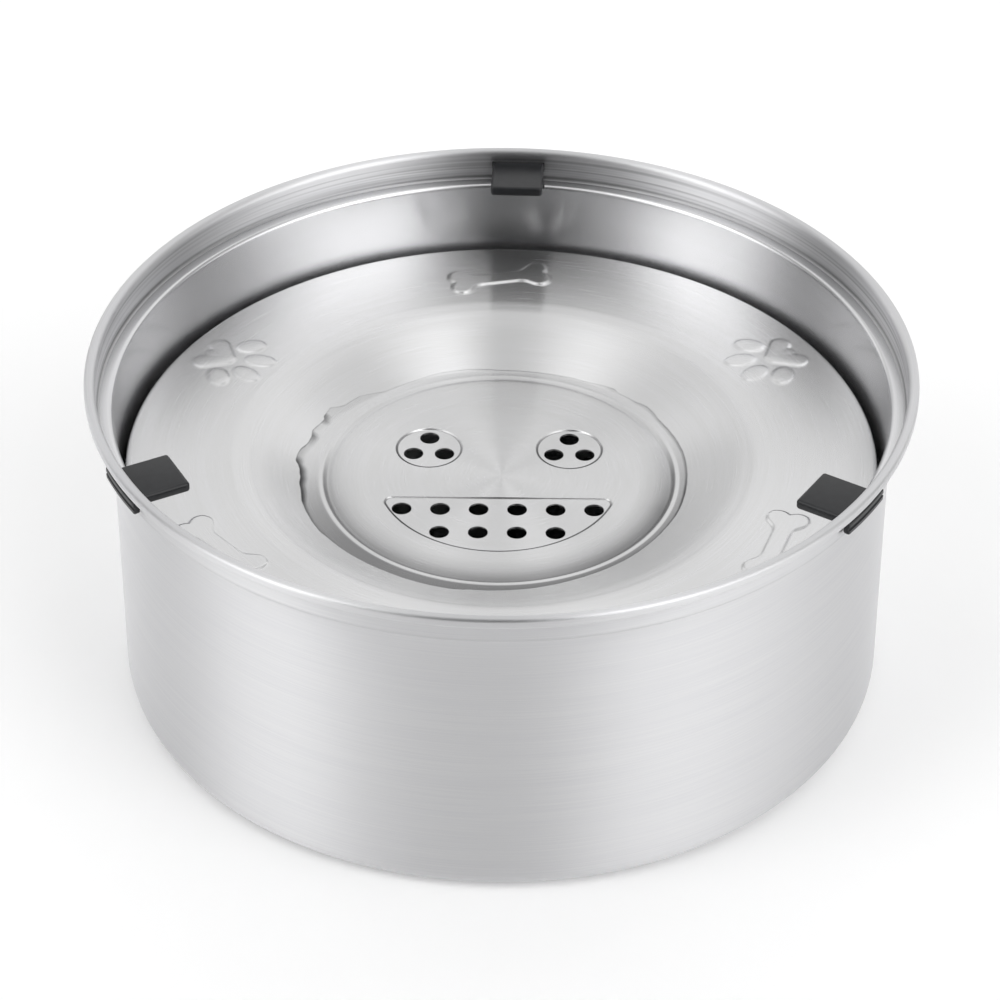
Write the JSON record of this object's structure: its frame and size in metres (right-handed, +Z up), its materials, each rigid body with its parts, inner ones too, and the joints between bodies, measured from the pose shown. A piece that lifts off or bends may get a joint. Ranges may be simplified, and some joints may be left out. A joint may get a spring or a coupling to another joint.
{
  "type": "pet water bowl",
  "caption": "Round steel no-spill water bowl: a floating disc with a perforated drinking well rises and sinks inside, kept in by rubber clips in the rim.",
  "frame": {"origin": "centre of the underside, on the ground", "axes": "+Z up along the bowl's axis, -Y towards the viewer in the picture, +X to the viewer's right"},
  "size_m": [0.24, 0.24, 0.102],
  "materials": {
    "bowl_steel": "brushed round the wall, polished bead",
    "float_steel": "satin, spun round the centre",
    "clip_rubber": "matt moulded",
    "ring_rubber": "matt moulded"
  },
  "bodies": {
    "bowl": {"bowl": "bowl_steel", "base_ring": "ring_rubber"},
    "float": {"float_top": "float_steel", "float_pan": "float_steel", "well_plate": "float_steel"},
    "clip_back": {"clip_back": "clip_rubber"},
    "clip_left": {"clip_left": "clip_rubber"},
    "clip_right": {"clip_right": "clip_rubber"}
  },
  "joints": [
    {"name": "float_rise", "type": "slide", "parent": "bowl", "child": "float", "axis": [0, 0, 1], "range_m": [-0.0431, 0.0233], "stiffness_N_per_m": 254, "springref_m": 0.0167},
    {"name": "clip_back_pull", "type": "slide", "parent": "bowl", "child": "clip_back", "axis": [0.0436, 0.999, 0], "range_m": [0, 0.01]},
    {"name": "clip_left_pull", "type": "slide", "parent": "bowl", "child": "clip_left", "axis": [-0.887, -0.4617, 0], "range_m": [0, 0.01]},
    {"name": "clip_right_pull", "type": "slide", "parent": "bowl", "child": "clip_right", "axis": [0.8434, -0.5373, 0], "range_m": [0, 0.01]}
  ]
}
